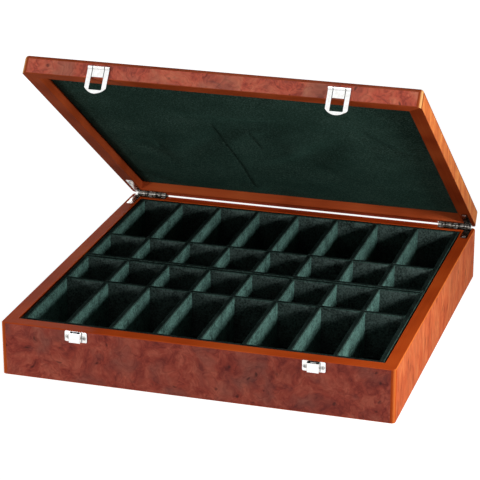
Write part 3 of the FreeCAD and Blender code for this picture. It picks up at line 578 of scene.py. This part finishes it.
# On the hinges the deep colour is a painted dark reflection, and the pale one painted glints.
nickel_painted_dark = bright_metal("worn_nickel_plate", "#D8D2CA", "#141110", 0.12, 0.12, 0.5)
spring_steel = bright_metal("bare_spring_steel", "#A9AAAB", "#8A8B8D", 0.22, 0.15, 0.1)
screw_steel = bright_metal("plated_screw_steel", "#DAD8D4", "#9A9896", 0.2, 0.15, 0.1)
hinge_screw_nickel = bright_metal("hinge_screw_nickel", "#FFFFFF", "#D8D6D2", 0.45, 0.1, 0.8)
for side in ("left", "right"):
    dress(nickel, f"{side}_keeper", f"{side}_hasp_plate", f"{side}_hasp")
    dress(nickel_painted_dark, f"{side}_hinge_base_leaf", f"{side}_hinge_lid_leaf")
    dress(spring_steel, f"{side}_keeper_spring")
    dress(screw_steel, f"{side}_hinge_pin", f"{side}_hasp_pin")
dress(screw_steel, "keeper_screws", "hasp_plate_screws")
dress(hinge_screw_nickel, "hinge_base_screws", "hinge_lid_screws")

# %% [markdown]
# ## The velvet lining
#
# The inside of the lid is a board padded with thin wadding and covered in dark
# green velvet, whose edges are tucked behind. So its face is a low cushion: a
# soft rolled edge all round, then a slow crown, with faint hollows where the
# wadding is uneven. The whole piece is made for a shut lid, where it lies level.
# Its face could be one box with its corners rounded off, but a fine grid can
# also take the hollows and settle as cloth does. The grid is cut along lines
# near its rim, so that the rolled edge has points enough to be round.

# %% Face of the lining
LINING_WIDTH = 354 * MM
LINING_DEPTH = 348 * MM
LINING_FACE = 60.9 * MM
ROLL_RADIUS = 2.4 * MM
ROLL_CUTS = (0.12, 0.4, 1)
CROWN = 0.8 * MM
CROWN_WIDTH = 60 * MM
HOLLOW_DEPTH = 0.12
GRID_STEPS = 90


def hollow(x, y):
    """How far uneven wadding lets the velvet sink at a place in mm, in mm."""
    # Waves of different lengths bend each other, so that no hollow repeats.
    waves = math.sin(x / 23 + 1.3 * math.sin(y / 41)) * math.sin(y / 29 + 1.1 * math.sin(x / 37))
    return HOLLOW_DEPTH * (1 + waves)


def from_edge(point):
    """How far a point of the lining is from its nearest edge."""
    return min(LINING_WIDTH / 2 - abs(point.x), LINING_DEPTH / 2 - abs(point.y))


def face_height(point):
    """Height of the velvet's face above its lowest plane at a point."""
    inset = from_edge(point)
    rise = CROWN * max(0, 1 - inset / CROWN_WIDTH) ** 2
    if inset < ROLL_RADIUS:
        away = ROLL_RADIUS - inset
        rise += ROLL_RADIUS - math.sqrt(max(0, ROLL_RADIUS**2 - away**2))
    return rise + hollow(point.x / MM, point.y / MM) * MM


mesh = bmesh.new()
bmesh.ops.create_grid(mesh, x_segments=GRID_STEPS, y_segments=GRID_STEPS, size=0.5)
bmesh.ops.scale(mesh, vec=(LINING_WIDTH, LINING_DEPTH, 1), verts=mesh.verts)
for share in ROLL_CUTS:
    for axis, half in ((0, LINING_WIDTH / 2), (1, LINING_DEPTH / 2)):
        for sign in (-1, 1):
            point, normal = [0, 0, 0], [0, 0, 0]
            point[axis], normal[axis] = sign * (half - ROLL_RADIUS * share), 1
            everything = mesh.verts[:] + mesh.edges[:] + mesh.faces[:]
            bmesh.ops.bisect_plane(mesh, geom=everything, plane_co=point, plane_no=normal)
bmesh.ops.reverse_faces(mesh, faces=mesh.faces)
for vert in mesh.verts:
    vert.co.z = LINING_FACE + face_height(vert.co)
lining_mesh = bpy.data.meshes.new("velvet_lining")
mesh.to_mesh(lining_mesh)
mesh.free()
lining = bpy.data.objects.new("velvet_lining", lining_mesh)
bpy.context.scene.collection.objects.link(lining)
print("the velvet's face has", len(lining_mesh.polygons), "faces")

# %% [markdown]
# The velvet is cut a little larger than the board and glued only round its
# edges, and the wadding pushes it out. Blender's cloth simulation finds the
# low waves that this makes: the rolled edge is pinned, a light pressure stands
# for the wadding, gravity is off, and the cloth is made slightly larger than
# its frame. How far a point may move is limited, as the wadding and the board
# limit it, and dies away towards the glued edge, so that the edge stays
# straight. The result is written to the mesh, and no modifier is left on it.

# %% Let the velvet settle over the wadding
SETTLE_FRAMES = 20
WADDING_PRESSURE = 0.12
SPARE_CLOTH = 0.012
GLUED_WIDTH = 1.1 * ROLL_RADIUS
MOST_LIFT = 1.8 * MM
LIFT_STARTS = 22 * MM


def settle(cover):
    """Simulate the velvet with its edges pinned, and keep its limited movement."""
    pinned = cover.vertex_groups.new(name="glued_edge")
    for vert in cover.data.vertices:
        if from_edge(vert.co) < GLUED_WIDTH:
            pinned.add([vert.index], 1, "REPLACE")
    cloth = cover.modifiers.new("settling", "CLOTH")
    cloth.settings.vertex_group_mass = pinned.name
    cloth.settings.use_pressure = True
    cloth.settings.uniform_pressure_force = WADDING_PRESSURE
    cloth.settings.effector_weights.gravity = 0
    cloth.settings.shrink_min = -SPARE_CLOTH
    cloth.collision_settings.use_collision = False
    scene = bpy.context.scene
    for number in range(1, SETTLE_FRAMES + 1):
        scene.frame_set(number)
    settled = cover.evaluated_get(bpy.context.evaluated_depsgraph_get()).data
    heights = [vert.co.z for vert in settled.vertices]
    moved = []
    for vert, height in zip(cover.data.vertices, heights):
        ease = min(1, from_edge(vert.co) / LIFT_STARTS) ** 2
        lift = ease * MOST_LIFT * math.tanh((height - vert.co.z) / MOST_LIFT)
        vert.co.z += lift
        moved.append(lift / MM)
    cover.modifiers.remove(cloth)
    cover.vertex_groups.remove(pinned)
    scene.frame_set(1)
    return min(moved), max(moved)


print("the velvet settled by", settle(lining), "mm")

# %% [markdown]
# The velvet keeps two fold lines from when it was folded, a long one and a short
# one beside it. A fold line is only a few millimetres wide, so the grid is
# divided more finely where one runs, and its points are pushed in along it. A
# bump in the material would look the same from the front, but the mesh itself is
# also kept, and there a bump leaves nothing.

# %% Fold lines
# Each is a place across, a start and an end along the lid, and a depth, in mm.
CREASES = ((-38.7, -62, 150, 1.0), (-4.4, -42, 12, 0.7))
CREASE_WIDTH = 1.4
CREASE_WANDER = 1.5
CREASE_END = 1 / 6
CREASE_MARGIN = 9
CREASE_CUTS = 5


def crease(x, y):
    """How deep the fold lines of the velvet are at a place in mm, in mm."""
    depth = 0
    for line, start, end, most in CREASES:
        middle, half = (start + end) / 2, (end - start) / 2
        reach = min(1, max(0, (1 - abs((y - middle) / half)) / CREASE_END))
        across = (x - line - CREASE_WANDER * math.sin(y / 30)) / CREASE_WIDTH
        depth += most * reach * math.exp(-across * across)
    return depth


mesh = bmesh.new()
mesh.from_mesh(lining_mesh)
for line, start, end, most in CREASES:
    near = [
        edge for edge in mesh.edges
        if all(
            abs(vert.co.x / MM - line) < CREASE_MARGIN and start < vert.co.y / MM < end
            for vert in edge.verts
        )
    ]
    bmesh.ops.subdivide_edges(mesh, edges=near, cuts=CREASE_CUTS, use_grid_fill=True)
for vert in mesh.verts:
    vert.co.z += crease(vert.co.x / MM, vert.co.y / MM) * MM
print("with its fold lines the velvet's face has", len(mesh.faces), "faces")

# %% [markdown]
# The rim is extruded up to the panel, which makes the tucked edges, and one face
# closes the back. Then the piece is turned about the hinge line to where the lid
# stands, because the lid of this box is modelled open.

# %% Tucked edges and the lid's tilt
LINING_BACK = 65.8 * MM
HINGE_LINE = Vector(lid_joint["pos_m"])
OPENING = Matrix.Rotation(-LID_ANGLE, 3, "X")

rim = [edge for edge in mesh.edges if edge.is_boundary]
tucked = bmesh.ops.extrude_edge_only(mesh, edges=rim)["geom"]
back_edges = [part for part in tucked if isinstance(part, bmesh.types.BMEdge) and part.is_boundary]
for vert in {vert for edge in back_edges for vert in edge.verts}:
    vert.co.z = LINING_BACK
bmesh.ops.contextual_create(mesh, geom=back_edges)
bmesh.ops.recalc_face_normals(mesh, faces=mesh.faces)
for vert in mesh.verts:
    vert.co = HINGE_LINE + OPENING @ (vert.co - HINGE_LINE)
for face in mesh.faces:
    face.smooth = True
mesh.to_mesh(lining_mesh)
mesh.free()
print("the lining has", len(lining_mesh.polygons), "faces")

# %% [markdown]
# Velvet has a longer pile than flock. Looked at straight on it is very dark,
# because light sinks between the fibres, and it is lighter where it is seen
# along the surface. Hair would do this too, but sheen does it without millions
# of fibres. The nap is brushed unevenly, so soft patches of the colour differ a
# little. The pile is drawn at 1.6 mm, far coarser than it is, or its grain
# wouldn't show.

# %% Dark green velvet
NAP_SIZE = 50
NAP_SHARE = 0.3
PILE_SIZE = 1.6

velvet, tree = start_material("dark_green_velvet")
place = add(tree, "TexCoord").outputs["Object"]
nap = add(
    tree, "TexNoise", {"Vector": place, "Scale": repeats(NAP_SIZE), "Detail": 4.0}
).outputs["Fac"]
pile = add(
    tree, "TexNoise",
    {"Vector": place, "Scale": repeats(PILE_SIZE), "Detail": 2.0, "Roughness": 0.7},
).outputs["Fac"]
mixed = add(tree, "Math", {0: nap, 1: NAP_SHARE, 2: pile}, operation="MULTIPLY_ADD").outputs[0]
green = add(
    tree, "ValToRGB", {"Fac": mixed},
    stops=[(0.45, "#15211C"), (0.65, "#293B33"), (0.85, "#485E55")],
).outputs["Color"]
bump = add(tree, "Bump", {"Height": pile, "Strength": 0.5, "Distance": 0.5 * MM})
shader = add(tree, "BsdfPrincipled", {
    "Base Color": green, "Roughness": 0.95, "Specular IOR Level": 0.0,
    "Sheen Weight": 0.15, "Sheen Roughness": 0.4, "Sheen Tint": linear("#5C9484"),
    "Normal": bump.outputs[0],
})
add(tree, "OutputMaterial", {"Surface": shader.outputs[0]})
lining_mesh.materials.append(velvet)
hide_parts("lid_lining")
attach(lining, "lid")
print(velvet.name, "on", lining.name)

# %% [markdown]
# ## Floor, light and camera
#
# The box stands on a pale floor against white. The floor has two jobs. It is a
# matt grey surface that bounces a little light and takes the box's shadow, and
# it glows white to the camera, to gloss and through glass, so that it looks
# white without lighting the box. Light Path says which kind of ray asks. More
# light would also make the floor white, but it would bleach the box with it.

# %% Floor
FLOOR_SIZE = 12.0
BACKDROP_WHITE = 0.9


def looked_at(tree):
    """Give 1 to the camera, to gloss and through glass, and 0 to all other rays."""
    rays = add(tree, "LightPath").outputs
    seen = add(
        tree, "Math", {0: rays["Is Camera Ray"], 1: rays["Is Glossy Ray"]}, operation="MAXIMUM"
    ).outputs[0]
    return add(
        tree, "Math", {0: seen, 1: rays["Is Transmission Ray"]}, operation="MAXIMUM"
    ).outputs[0]


mesh = bmesh.new()
bmesh.ops.create_grid(mesh, x_segments=1, y_segments=1, size=FLOOR_SIZE / 2)
floor_mesh = bpy.data.meshes.new("floor")
mesh.to_mesh(floor_mesh)
mesh.free()
floor = bpy.data.objects.new("floor", floor_mesh)
bpy.context.scene.collection.objects.link(floor)

paper, tree = start_material("pale_floor")
glow = add(
    tree, "Math", {0: looked_at(tree), 1: BACKDROP_WHITE}, operation="MULTIPLY"
).outputs[0]
matt = add(tree, "BsdfDiffuse", {"Color": linear("#A8A8A8")})
lit = add(tree, "Emission", {"Color": (1, 1, 1, 1), "Strength": glow})
both = add(tree, "AddShader", {0: matt.outputs[0], 1: lit.outputs[0]})
add(tree, "OutputMaterial", {"Surface": both.outputs[0]})
floor_mesh.materials.append(paper)
print("a floor of", FLOOR_SIZE, "m")

# %% [markdown]
# The world does the same above the floor: plain white where it is looked at, and
# a low, even light on the box from everywhere else.

# %% World
AMBIENT = 0.08

world = bpy.data.worlds.new("studio")
bpy.context.scene.world = world
world.use_nodes = True
world.node_tree.nodes.clear()
tree = world.node_tree
strength = add(tree, "MapRange", {"Value": looked_at(tree), "To Min": AMBIENT, "To Max": 1.0})
light = add(tree, "Background", {
    "Color": (1, 1, 1, 1), "Strength": strength.outputs["Result"],
})
add(tree, "OutputWorld", {"Surface": light.outputs[0]})
print("the world lights the box at", AMBIENT)

# %% [markdown]
# Four soft lamps light the box. A small one, low and close on the right, lights
# the right side and throws the slanting shadows into the compartments: a small
# lamp has crisp shadows, and a low one keeps the floors dark. A sun lamp would
# do that too, but it lights near and far alike, and the real light falls off
# from right to left. A weak one above lifts the rims, one at the left front
# lifts the front, and a large one behind lifts the back. None of them shows to
# the camera.

# %% Lamps


def softbox(name, spot, target, size, watts):
    """Hang a square soft lamp at a spot, facing a target."""
    lamp = bpy.data.lights.new(name, "AREA")
    lamp.shape = "SQUARE"
    lamp.size = size
    lamp.energy = watts
    holder = bpy.data.objects.new(name, lamp)
    bpy.context.scene.collection.objects.link(holder)
    holder.location = spot
    aim = Vector(target) - Vector(spot)
    holder.rotation_euler = aim.to_track_quat("-Z", "Y").to_euler()
    holder.visible_camera = False
    print(name, "hangs", round(aim.length, 2), "m from what it lights, at", watts, "W")


softbox("key_softbox", (0.66, -0.23, 0.27), (0.05, 0, 0.05), 0.14, 3.2)
softbox("top_softbox", (-0.1, -0.15, 1.1), (0, 0, 0.1), 0.5, 1.7)
softbox("front_fill", (-0.95, -1.0, 0.17), (0, 0, 0.1), 0.3, 5.5)
softbox("rear_fill", (-0.7, 1.4, 0.5), (0, 0, 0.1), 0.8, 6)

# %% [markdown]
# The camera stands 2.1 m away, to the right of the front, and looks down by
# 21 degrees. Its long lens keeps the edges of the box nearly parallel. A camera
# could be turned by eye until the box looks right. Here its place, turn and lens
# were worked out by fitting the edges of the box to those in a photograph.

# %% Camera
CAMERA_PLACE = (0.5557, -1.8813, 0.8410)
CAMERA_DOWN = 21.013
CAMERA_TURN = 16.78
LENS = 159.6
SENSOR = 36

camera_data = bpy.data.cameras.new("camera")
camera_data.sensor_width = SENSOR
camera_data.lens = LENS
camera = bpy.data.objects.new("camera", camera_data)
camera.location = CAMERA_PLACE
camera.rotation_euler = (math.radians(90 - CAMERA_DOWN), 0, math.radians(CAMERA_TURN))
bpy.context.scene.collection.objects.link(camera)
bpy.context.scene.camera = camera
print("the camera sees", round(math.degrees(camera_data.angle), 1), "degrees")

# %% [markdown]
# The Standard view transform shows a colour as it is written.

bpy.context.scene.view_settings.view_transform = "Standard"
